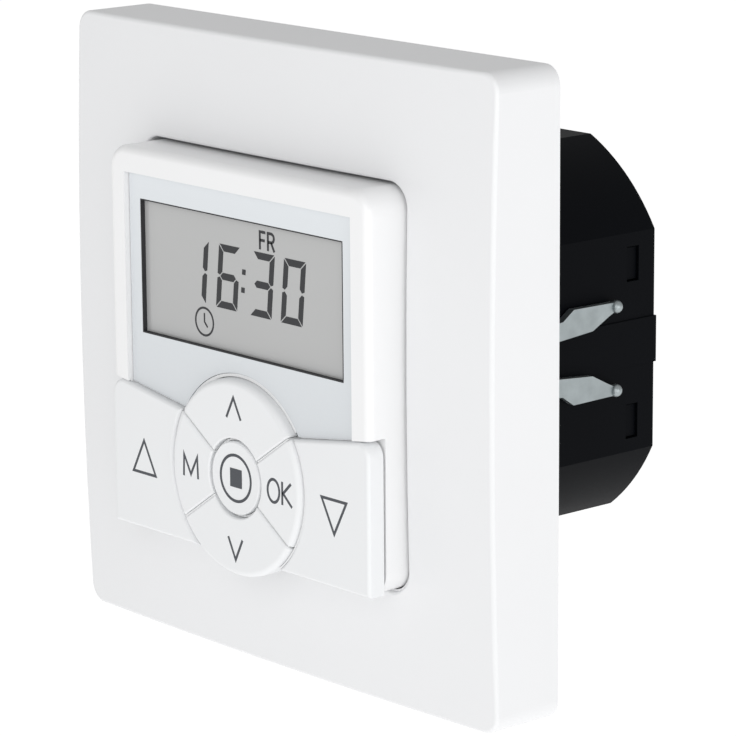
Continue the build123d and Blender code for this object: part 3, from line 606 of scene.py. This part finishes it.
def arc_points(
    centre: tuple[float, float], radii: tuple[float, float], start: float, end: float, count: int
) -> np.ndarray:
    """Points on an arc of an ellipse from one angle to another, in degrees."""
    turn = np.radians(np.linspace(start, end, count))
    return np.array(centre) + np.stack([radii[0] * np.cos(turn), radii[1] * np.sin(turn)], axis=1)


def dress(nodes: list[str], material: bpy.types.Material) -> None:
    """Gives CAD nodes a finish.

    Args:
        nodes: Names of the nodes.
        material: Their finish.
    """
    for name in nodes:
        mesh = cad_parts[name].data
        mesh.materials.clear()
        mesh.materials.append(material)
        LOG.info("%s: finish %s", name, material.name)


# --------------------------------------------------------------------------------------------------
# Lettering and signs
# --------------------------------------------------------------------------------------------------


@dataclass(frozen=True)
class Lettering:
    """Plain stroke letters, drawn in a cell one unit high with the foot at zero."""

    pen: float
    low: float
    high: float

    def strokes(self, letter: str) -> tuple[float, list[tuple[np.ndarray, Join]]]:
        """Centre lines of a letter.

        Args:
            letter: One of M, O, K, F, R.

        Returns:
            The letter's width and its strokes, as shares of its height.
        """
        line = np.array
        if letter == "M":
            zigzag = line([(0.0, -0.03), (0.04, 0.97), (0.51, 0.12), (0.98, 0.97), (1.02, -0.03)])
            return 1.02, [(zigzag, Join.OPEN)]
        if letter == "O":
            return 0.8, [(arc_points((0.4, 0.5), (0.4, 0.52), 0, 348.75, 32), Join.CLOSED)]
        if letter == "K":
            arms = line([(0.6, 1.03), (0.06, 0.5), (0.66, -0.03)])
            return 0.62, [(line([(0.0, -0.03), (0.0, 1.03)]), Join.OPEN), (arms, Join.OPEN)]
        if letter == "F":
            top = line([(0.52, 0.97), (0.03, 0.97), (0.03, -0.03)])
            return 0.5, [(top, Join.OPEN), (line([(0.03, 0.5), (0.46, 0.5)]), Join.OPEN)]
        rounding = arc_points((0.3, 0.72), (0.25, 0.25), 90, -90, 12)
        bowl = np.concatenate([[(0.03, -0.03), (0.03, 0.97)], rounding, [(0.03, 0.47)]])
        return 0.58, [(bowl, Join.OPEN), (line([(0.3, 0.47), (0.58, -0.03)]), Join.OPEN)]

    def word(
        self, text: str, centre: tuple[float, float], height: float, gap: float = 0.2
    ) -> tuple[np.ndarray, list]:
        """A word centred on a point.

        Args:
            text: The letters.
            centre: Middle of the word in millimetres.
            height: Height of the letters in millimetres.
            gap: Space between letters as a share of the height.

        Returns:
            Vertices in metres and faces.
        """
        drawn = [self.strokes(letter) for letter in text]
        total = sum(width for width, _ in drawn) + gap * (len(text) - 1)
        left = centre[0] - total * height / 2
        parts = []
        for width, lines in drawn:
            for points, join in lines:
                placed = np.array([left, centre[1] - height / 2]) + points * height
                parts.append(stroke(placed, self.pen, self.low, self.high, join))
            left += (width + gap) * height
        return merged(parts)


class Segment(Enum):
    """Bars of a seven-segment digit, each with its two ends in half cells (across, up)."""

    TOP = ((0, 2), (1, 2))
    UPPER_RIGHT = ((1, 2), (1, 1))
    LOWER_RIGHT = ((1, 1), (1, 0))
    FOOT = ((0, 0), (1, 0))
    LOWER_LEFT = ((0, 1), (0, 0))
    UPPER_LEFT = ((0, 2), (0, 1))
    MIDDLE = ((0, 1), (1, 1))


DIGITS = {
    "0": [bar for bar in Segment if bar is not Segment.MIDDLE],
    "1": [Segment.UPPER_RIGHT, Segment.LOWER_RIGHT],
    "3": [bar for bar in Segment if bar not in (Segment.UPPER_LEFT, Segment.LOWER_LEFT)],
    "6": [bar for bar in Segment if bar is not Segment.UPPER_RIGHT],
}


# --------------------------------------------------------------------------------------------------
# Sub-assemblies
# --------------------------------------------------------------------------------------------------


@dataclass
class Screen:
    """The display: its glass, what it shows, and the print and shadow line round it."""

    time: str = "1630"
    cell_width: float = 4.15
    cell_height: float = 8.15
    bar: float = 0.9
    bar_gap: float = 0.11
    slant: float = 0.1
    lefts: tuple[float, ...] = (-10.75, -4.55, 2.1, 8.0)
    foot: float = 6.5
    segment_depth: float = 0.02
    colon: tuple[float, float] = (0.52, 10.55)
    dot_half: float = 0.34
    dot_rise: float = 1.15
    day_centre: tuple[float, float] = (4.75, 16.2)
    day_height: float = 2.2
    day_pen: float = 0.36
    clock_centre: tuple[float, float] = (-7.72, 4.22)
    clock_radius: float = 1.76
    clock_ring: float = 0.28
    clock_hand: float = 0.26
    window: tuple[float, float, float, float] = (-19.6, 19.6, 1.055, 18.405)
    lining: float = 0.15
    ink: Ink = Ink("segment_dark", (0.02, 0.021, 0.024), 0.5)
    lining_ink: Ink = Ink("lining_black", (0.02, 0.02, 0.022), 0.6)

    def build(self) -> None:
        """Builds everything on the display."""
        low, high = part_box("lcd_glass")
        dress(["lcd_glass"], ScreenGlass("screen_glass", low[2], high[2]).build())
        face = -low[1] / MM
        ink = self.ink.build()
        digits = [self.digit(symbol, left, face) for symbol, left in zip(self.time, self.lefts)]
        self.put("time_digits", merged(digits), ink)
        self.put("time_colon", self.dots(face), ink)
        pen = Lettering(self.day_pen, face - self.segment_depth, face + self.segment_depth)
        self.put("weekday", pen.word("FR", self.day_centre, self.day_height), ink)
        self.put("clock_sign", self.clock(face), ink)
        self.put("window_lining", self.window_lining(face), self.lining_ink.build())

    def put(self, name: str, surface: tuple[np.ndarray, list], material: bpy.types.Material) -> None:
        """Makes one piece that rides on the control unit."""
        make_piece(name, surface, material, "control_unit")

    def window_lining(self, face: float) -> tuple[np.ndarray, list]:
        """Thin dark lining of the window's wall: a rectangular bar carried round the window.

        Args:
            face: Height of the glass in millimetres.

        Returns:
            Vertices in metres and faces.
        """
        left, right, foot, top = self.window
        inset = self.lining / 2 + 0.01
        left, right, foot, top = left + inset, right - inset, foot + inset, top - inset
        corners = np.array([(left, foot), (right, foot), (right, top), (left, top)])
        panel_face = -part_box("display_panel")[0][1] / MM
        return stroke(corners, self.lining, face + 0.005, panel_face + 0.01, Join.CLOSED)

    def lean(self, points: np.ndarray) -> np.ndarray:
        """Leans points to the right by their height above the foot line."""
        shift = (points[:, 1] - self.foot - self.cell_height) * self.slant
        return points + np.stack([shift, 0 * shift], axis=1)

    def digit(self, symbol: str, left: float, face: float) -> tuple[np.ndarray, list]:
        """One digit of mitred bars.

        Each bar is a hexagon: its long sides lie half the bar's width either side of the line between
        two corners of the cell, and its pointed ends stop short of those corners by the gap.

        Args:
            symbol: The digit.
            left: Left edge of the cell in millimetres.
            face: Height of the glass in millimetres.

        Returns:
            Vertices in metres and faces.
        """
        half = self.bar / 2
        width, height = self.cell_width - self.bar, (self.cell_height - self.bar) / 2
        parts = []
        for bar in DIGITS[symbol]:
            (x0, y0), (x1, y1) = bar.value
            start = np.array([left + half + x0 * width, self.foot + half + y0 * height])
            end = np.array([left + half + x1 * width, self.foot + half + y1 * height])
            along = (end - start) / np.linalg.norm(end - start)
            across = np.array([-along[1], along[0]]) * half
            tip, back = along * self.bar_gap, along * (self.bar_gap + half)
            right = [start + back - across, end - back - across]
            other = [end - back + across, start + back + across]
            outline = np.array([start + tip, *right, end - tip, *other])
            if bar is not Segment.MIDDLE:
                outline = self.squared(outline, start, end, along, across, left + half + width / 2)
            parts.append(slab(self.lean(outline), face - self.segment_depth, face + self.segment_depth))
        return merged(parts)

    def squared(
        self,
        outline: np.ndarray,
        start: np.ndarray,
        end: np.ndarray,
        along: np.ndarray,
        across: np.ndarray,
        middle: float,
    ) -> np.ndarray:
        """Carries a bar's outer long side out to the corners of its cell, as the mitred bars of a display do.

        Args:
            outline: The bar's hexagon, anticlockwise from its start point.
            start: Its first corner of the cell's centre lines.
            end: Its second corner.
            along: Unit vector from start to end.
            across: Half the bar's width to its left.
            middle: Where the cell's middle is.

        Returns:
            The changed outline.
        """
        centre = np.array([middle, self.foot + self.cell_height / 2])
        outside = 1.0 if np.dot((start + end) / 2 - centre, across) > 0 else -1.0
        half = self.bar / 2
        levels = (self.foot + half, self.foot + self.cell_height - half)
        changed = outline.copy()
        for point, sign, near, far in ((start, 1.0, 5, 1), (end, -1.0, 4, 2)):
            is_corner = any(abs(point[1] - level) < 1e-6 for level in levels)
            reach = half - self.bar_gap * 1.2 if is_corner else -self.bar_gap - half * 0.4
            index = near if outside > 0 else far
            changed[index] = point - sign * along * reach + across * outside
        return changed

    def dots(self, face: float) -> tuple[np.ndarray, list]:
        """The two square dots between hours and minutes."""
        half, depth = self.dot_half, self.segment_depth
        corners = np.array([(-half, -half), (half, -half), (half, half), (-half, half)])
        corners = corners + np.array(self.colon)
        squares = [self.lean(corners + np.array([0.0, rise])) for rise in (-self.dot_rise, self.dot_rise)]
        return merged([slab(square, face - depth, face + depth) for square in squares])

    def clock(self, face: float) -> tuple[np.ndarray, list]:
        """A ring with two hands."""
        low, high = face - self.segment_depth, face + self.segment_depth
        ring = stroke(circle(self.clock_centre, self.clock_radius), self.clock_ring, low, high, Join.CLOSED)
        hands = np.array(self.clock_centre) + np.array([(0.0, 1.1), (0.0, -0.02), (0.6, -0.66)])
        return merged([ring, stroke(hands, self.clock_hand, low, high, Join.OPEN)])


@dataclass(frozen=True)
class Web:
    """Width of a web, its middle's distance from the edge beside it and its top's depth, in millimetres."""

    width: float
    offset: float
    drop: float


@dataclass
class ControlUnit:
    """The plug-in unit: housing, panel, keys and the signs printed on them."""

    half_side: float = 25.0
    pad_centre: float = -14.3
    pad_inner: float = 5.1
    pad_outer: float = 12.6
    split_turn: float = 34.0
    key_line_outside: float = -5.1
    key_line_fall: float = 0.15
    dish_radius: float = 70.0
    dish_depth: float = 0.18
    print_height: float = 0.004
    print_root: float = 0.03
    pen: float = 0.38
    letter_height: float = 2.8
    triangle: tuple[tuple[float, float], ...] = ((-2.3, -2.1), (2.3, -2.1), (0.0, 2.2))
    triangle_up: tuple[float, float] = (-18.7, -15.1)
    triangle_down: tuple[float, float] = (18.6, -15.6)
    arrow_half: float = 1.4
    arrow_up: tuple[float, float] = (-3.95, -6.65)
    arrow_down: tuple[float, float] = (-24.8, -22.0)
    menu_centre: tuple[float, float] = (-8.7, -14.3)
    ok_centre: tuple[float, float] = (8.74, -14.4)
    stop_ring: float = 2.95
    ring_lift: float = 0.06
    ring_depth: float = 0.15
    square_half: tuple[float, float] = (1.15, 1.2)
    square_lift: float = 0.08
    square_root: float = 0.1
    web_depth: float = 2.2
    ray: Web = Web(0.2, 0.06, 0.3)
    ray_stop: float = 0.45
    hub: Web = Web(0.26, 0.2, 0.5)
    side_arc: Web = Web(0.22, 0.175, 0.35)
    side_turns: tuple[tuple[float, float], ...] = ((-52.0, 31.0), (149.0, 232.0))
    top_arc: Web = Web(0.4, 0.28, 0.1)
    top_turns: tuple[float, float] = (36.0, 144.0)
    panel_line: Web = Web(0.09, 0.06, 0.08)
    bezel_line: Web = Web(0.09, 0.06, 0.6)
    line_ends: tuple[float, float] = (11.4, 24.7)
    white: MouldedPlastic = MouldedPlastic("housing_white", (0.85, 0.852, 0.857), 0.3, 0.012, coat=0.2)
    key: MouldedPlastic = MouldedPlastic("key_white", (0.80, 0.81, 0.82), 0.42, 0.012)
    web: MouldedPlastic = MouldedPlastic("seam_white", (0.84, 0.845, 0.85), 0.6, 0.01)
    panel_colour: tuple[float, float, float] = (0.68, 0.71, 0.735)
    ink: Ink = Ink("print_dark", (0.055, 0.06, 0.07), 0.5)

    def build(self) -> None:
        """Dresses the CAD pieces and prints the signs."""
        dress(["control_housing"], self.white.build())
        sectors = ["pad_up_button", "pad_down_button", "menu_button", "ok_button"]
        dress(["up_key", "down_key", *sectors, "stop_button"], self.key.build())
        low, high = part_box("display_panel")
        dress(["display_panel"], PanelFilm("panel_film", self.panel_colour, low[2], high[2]).build())
        make_piece("seam_webs", merged(self.seam_webs()), self.web.build(), "control_unit")
        ink = self.ink.build()
        self.outline_triangles(ink)
        self.arrows(ink)
        self.words(ink)
        self.stop_sign(ink)

    def seam_webs(self) -> list[tuple[np.ndarray, list]]:
        """White webs of the key mat that stand in the seams between the keys, just under their faces.

        Each is an upright bar carried along the middle of its seam: four rays and a circle in the pad,
        an arc round each side of it, an arc above it, and the slanted lines over the large keys.

        Returns:
            Vertices in metres and faces of each web.
        """
        centre = (0.0, self.pad_centre)
        pad_face, key_face = self.face("pad_up_button"), self.face("up_key")
        floor = key_face - self.web_depth
        webs = []
        split = self.split_turn
        for turn in (split, 180 - split, 180 + split, 360 - split):
            way = np.array([math.cos(math.radians(turn)), math.sin(math.radians(turn))])
            ends = [self.pad_inner + self.ray.offset, self.pad_outer - self.ray_stop]
            run = np.array(centre) + np.outer(ends, way)
            webs.append(stroke(run, self.ray.width, floor, pad_face - self.ray.drop, Join.OPEN))
        ring = circle(centre, self.pad_inner - self.hub.offset)
        webs.append(stroke(ring, self.hub.width, floor, key_face - self.hub.drop, Join.CLOSED))
        for start, end in self.side_turns:
            arc = arc_points(centre, (self.pad_outer + self.side_arc.offset,) * 2, start, end, 48)
            webs.append(stroke(arc, self.side_arc.width, floor, key_face - self.side_arc.drop, Join.OPEN))
        panel_low, panel_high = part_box("display_panel")
        panel_face, panel_side = -panel_low[1] / MM, panel_high[0] / MM
        rim = arc_points(centre, (self.pad_outer + self.top_arc.offset,) * 2, *self.top_turns, 64)
        webs.append(stroke(rim, self.top_arc.width, floor, panel_face - self.top_arc.drop, Join.OPEN))
        spans = (
            (self.line_ends[0], panel_side, self.panel_line, panel_face),
            (panel_side, self.line_ends[1], self.bezel_line, key_face),
        )
        for side in (-1.0, 1.0):
            for inner, outer, web, face in spans:
                ends = [(side * across, self.key_line(across) - web.offset) for across in (inner, outer)]
                webs.append(stroke(np.array(ends), web.width, floor, face - web.drop, Join.OPEN))
        return webs

    def key_line(self, across: float) -> float:
        """Level of the slanted line between the large keys and the panel, which falls inwards."""
        return self.key_line_outside - self.key_line_fall * (self.half_side - across)

    def face(self, node: str) -> float:
        """Height of a node's front in millimetres."""
        return -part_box(node)[0][1] / MM

    def put(self, body: str, surface: tuple[np.ndarray, list], ink: bpy.types.Material) -> None:
        """Makes one printed sign that rides on its key."""
        make_piece(body + "_sign", surface, ink, body)

    def printed(self, body: str, path: np.ndarray, join: Join) -> tuple[np.ndarray, list]:
        """Printed line on a key's face: a bar from just under the face to an ink's height above it.

        Args:
            body: The key.
            path: Centre line in millimetres.
            join: Whether the line is closed.

        Returns:
            Vertices in metres and faces.
        """
        face = self.face(body)
        return stroke(path, self.pen, face - self.print_root, face + self.print_height, join)

    def outline_triangles(self, ink: bpy.types.Material) -> None:
        """Open and close signs: outline triangles on the two large keys."""
        for body, centre, way in (("up_key", self.triangle_up, 1.0), ("down_key", self.triangle_down, -1.0)):
            corners = np.array(self.triangle) * np.array([1.0, way]) + np.array(centre)
            self.put(body, self.printed(body, corners, Join.CLOSED), ink)

    def arrows(self, ink: bpy.types.Material) -> None:
        """Chevrons on the upper and the lower pad key."""
        for body, (tip, foot) in (("pad_up_button", self.arrow_up), ("pad_down_button", self.arrow_down)):
            path = np.array([(-self.arrow_half, foot), (0.0, tip), (self.arrow_half, foot)])
            self.put(body, self.printed(body, path, Join.OPEN), ink)

    def words(self, ink: bpy.types.Material) -> None:
        """M for menu and OK on the side keys of the pad."""
        labels = (("menu_button", "M", self.menu_centre), ("ok_button", "OK", self.ok_centre))
        for body, text, centre in labels:
            face = self.face(body)
            pen = Lettering(self.pen, face - self.print_root, face + self.print_height)
            self.put(body, pen.word(text, centre, self.letter_height), ink)

    def stop_sign(self, ink: bpy.types.Material) -> None:
        """Square in a ring on the middle key.

        The ring stands above the dish, which rises from its middle by the square of the distance over
        twice the radius of its sphere.

        Args:
            ink: The print's finish.
        """
        rim = self.face("stop_button") - self.dish_depth
        centre = (0.0, self.pad_centre)
        signs = np.array([(-1, -1), (1, -1), (1, 1), (-1, 1)])
        corners = signs * np.array(self.square_half) + np.array(centre)
        face = rim + self.stop_ring**2 / (2 * self.dish_radius) + self.ring_lift
        ring = stroke(circle(centre, self.stop_ring), self.pen, face - self.ring_depth, face, Join.CLOSED)
        square = slab(corners, rim - self.square_root, rim + self.square_lift)
        make_piece("stop_sign", merged([ring, square]), ink, "stop_button")


@dataclass
class WallParts:
    """Cover frame and everything behind it."""

    frame_white: MouldedPlastic = MouldedPlastic(
        "frame_white", (0.80, 0.805, 0.815), 0.34, 0.012, coat=0.12
    )
    black: MouldedPlastic = MouldedPlastic(
        "insert_black", (0.0025, 0.003, 0.0042), 0.46, 0.2, 0.3 * MM, 0.008 * MM, shine=0.035
    )
    part_black: MouldedPlastic = MouldedPlastic("part_black", (0.014, 0.014, 0.016), 0.42, 0.1)
    relay_black: MouldedPlastic = MouldedPlastic("relay_black", (0.02, 0.021, 0.024), 0.35, 0.1)
    block_grey: MouldedPlastic = MouldedPlastic("block_grey", (0.30, 0.31, 0.32), 0.45, 0.03)
    film_yellow: MouldedPlastic = MouldedPlastic("film_yellow", (0.62, 0.42, 0.04), 0.35, 0.05)
    lacquer_blue: MouldedPlastic = MouldedPlastic(
        "lacquer_blue", (0.03, 0.10, 0.34), 0.3, 0.08, 0.8 * MM, 0.03 * MM
    )
    guide_milk: MouldedPlastic = MouldedPlastic("guide_milk", (0.85, 0.87, 0.87), 0.25, 0.02)
    strip_grey: MouldedPlastic = MouldedPlastic("strip_grey", (0.28, 0.28, 0.29), 0.7, 0.1)
    fuse_brown: MouldedPlastic = MouldedPlastic("fuse_brown", (0.16, 0.07, 0.03), 0.3, 0.1)
    zinc: PlatedSteel = PlatedSteel("zinc_steel")
    can: PlatedSteel = PlatedSteel("can_aluminium", (0.74, 0.75, 0.76), 0.28)
    brass: PlatedSteel = PlatedSteel("clamp_brass", (0.70, 0.50, 0.22), 0.3)
    ferrite: PlatedSteel = PlatedSteel("ferrite", (0.06, 0.06, 0.065), 0.55)
    board: CircuitBoard = CircuitBoard("board_green")
    header_pins: PinHeader = PinHeader("header_pins", -4.09 * MM)
    claw_pitch: float = 0.5 * MM
    claw_head: float = -1.3 * MM
    small_head: float = 1.0 * MM
    opening_half: float = 25.4
    opening_corner: float = 3.2
    lip_top: float = 10.75
    lip_depth: float = 1.2
    lip_width: float = 0.31
    lip_inset: float = 0.105

    def build(self) -> None:
        """Dresses the CAD pieces and adds the frame's lip."""
        dress(["cover_frame"], self.frame_white.build())
        dress(["rear_housing", "insert_cover"], self.black.build())
        dress(["header_socket", "control_rear_cover"], self.part_black.build())
        dress(["plug_header"], self.header_pins.build())
        dress(["relay_up", "relay_down", "microcontroller", *self.named("switch_")], self.relay_black.build())
        claws = self.named("claw_left", "claw_right", "claw_pin", "claw_nut")
        dress(["support_ring", *claws], self.zinc.build())
        self.screws()
        self.opening_lip()
        dress(self.named("wire_clamp"), self.brass.build())
        dress(["terminal_block"], self.block_grey.build())
        dress(["film_capacitor"], self.film_yellow.build())
        dress(["varistor"], self.lacquer_blue.build())
        dress(["electrolytic_capacitor", "backup_cell"], self.can.build())
        dress(["transformer"], self.ferrite.build())
        dress(["fuse"], self.fuse_brown.build())
        dress(["light_guide"], self.guide_milk.build())
        dress(["contact_strip_upper", "contact_strip_lower"], self.strip_grey.build())
        dress(["power_board", "control_board"], self.board.build())

    def named(self, *starts: str) -> list[str]:
        """CAD nodes whose names begin with one of the given words."""
        return [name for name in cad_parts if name.startswith(starts)]

    def opening_lip(self) -> None:
        """Thin lip in the frame's opening: a bar carried down one side, round the foot and up the other."""
        reach, corner = self.opening_half - self.lip_inset, self.opening_corner - self.lip_inset
        inner = reach - corner
        left = arc_points((-inner, -inner), (corner, corner), 180, 270, 9)
        right = arc_points((inner, -inner), (corner, corner), 270, 360, 9)
        path = np.concatenate([[(-reach, inner)], left, right, [(reach, inner)]])
        surface = stroke(path, self.lip_width, self.lip_top - self.lip_depth, self.lip_top, Join.OPEN)
        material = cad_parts["cover_frame"].data.materials[0]
        make_piece("opening_lip", surface, material, "cover_frame")

    def screws(self) -> None:
        """Screws: each has its own thread about its own axis, behind its head."""
        for name in self.named("claw_screw", "ring_screw", "unit_screw"):
            low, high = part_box(name)
            front = self.claw_head if name.startswith("claw") else low[1] + self.small_head
            finish = ThreadedSteel(name + "_steel", (low[0] + high[0]) / 2, self.claw_pitch, front)
            dress([name], finish.build())


@dataclass
class Studio:
    """Pale floor, soft lights and the camera."""

    camera_place: tuple[float, float, float] = (0.354914, -0.304632, 0.104532)
    heading: float = 48.92
    pitch: float = 12.94
    roll: float = 0.449
    lens: float = 185.1
    floor_level: float = -0.30
    floor_side: float = 24.0
    floor_glow: float = 0.53
    world_strength: float = 0.55
    front_place: tuple[float, float, float] = (0.25, -0.36, 0.15)
    front_side: float = 0.4
    front_power: float = 0.62
    right_place: tuple[float, float, float] = (1.6, -0.1, 0.1)
    right_side: float = 1.2
    right_power: float = 5.7

    def build(self) -> None:
        """Builds the studio."""
        self.floor()
        self.world()
        self.soft_box("front_box", self.front_place, self.front_side, self.front_power)
        self.soft_box("side_box", self.right_place, self.right_side, self.right_power)
        self.camera()

    def floor(self) -> None:
        """One large flat sheet, well below the part."""
        half, level = self.floor_side / 2, self.floor_level
        corners = [(-half, -half, level), (half, -half, level), (half, half, level), (-half, half, level)]
        mesh = bpy.data.meshes.new("studio_floor")
        mesh.from_pydata(corners, [], [[0, 1, 2, 3]])
        floor = bpy.data.objects.new("studio_floor", mesh)
        bpy.context.collection.objects.link(floor)
        shader = Shader("studio_floor")
        shader.set(Base_Color=(0.9, 0.9, 0.9, 1.0), Roughness=0.9, Specular_IOR_Level=0.0)
        shader.set(Emission_Color=(1.0, 1.0, 1.0, 1.0), Emission_Strength=self.floor_glow)
        mesh.materials.append(shader.material)

    def world(self) -> None:
        """Even white surroundings."""
        world = bpy.data.worlds.new("studio")
        world.use_nodes = True
        background = world.node_tree.nodes["Background"]
        background.inputs[0].default_value = (1.0, 1.0, 1.0, 1.0)
        background.inputs[1].default_value = self.world_strength
        bpy.context.scene.world = world
        bpy.context.scene.view_settings.view_transform = "Standard"

    def soft_box(self, name: str, place: tuple[float, float, float], side: float, power: float) -> None:
        """Adds a square light that faces the part.

        Args:
            name: Name of the light.
            place: Its position in metres.
            side: Its side in metres.
            power: Its power in watts.
        """
        data = bpy.data.lights.new(name, "AREA")
        data.size = side
        data.energy = power
        light = bpy.data.objects.new(name, data)
        light.location = place
        light.visible_camera = False
        light.rotation_euler = (-Vector(place)).to_track_quat("-Z", "Y").to_euler()
        bpy.context.collection.objects.link(light)

    def camera(self) -> None:
        """Long lens from the right, slightly above."""
        data = bpy.data.cameras.new("camera")
        data.lens = self.lens
        data.sensor_width = 36.0
        data.clip_start = 0.01
        camera = bpy.data.objects.new("camera", data)
        turn = Matrix.Rotation(math.radians(self.heading), 4, "Z")
        tilt = Matrix.Rotation(math.radians(90 - self.pitch), 4, "X")
        spin = Matrix.Rotation(math.radians(-self.roll), 4, "Z")
        camera.matrix_world = Matrix.Translation(self.camera_place) @ turn @ tilt @ spin
        bpy.context.collection.objects.link(camera)
        bpy.context.scene.camera = camera


def main() -> None:
    """Builds the looks in order."""
    logging.basicConfig(level=logging.INFO, format="%(name)s: %(message)s")
    Studio().build()
    WallParts().build()
    ControlUnit().build()
    Screen().build()


if __name__ == "__main__":
    main()
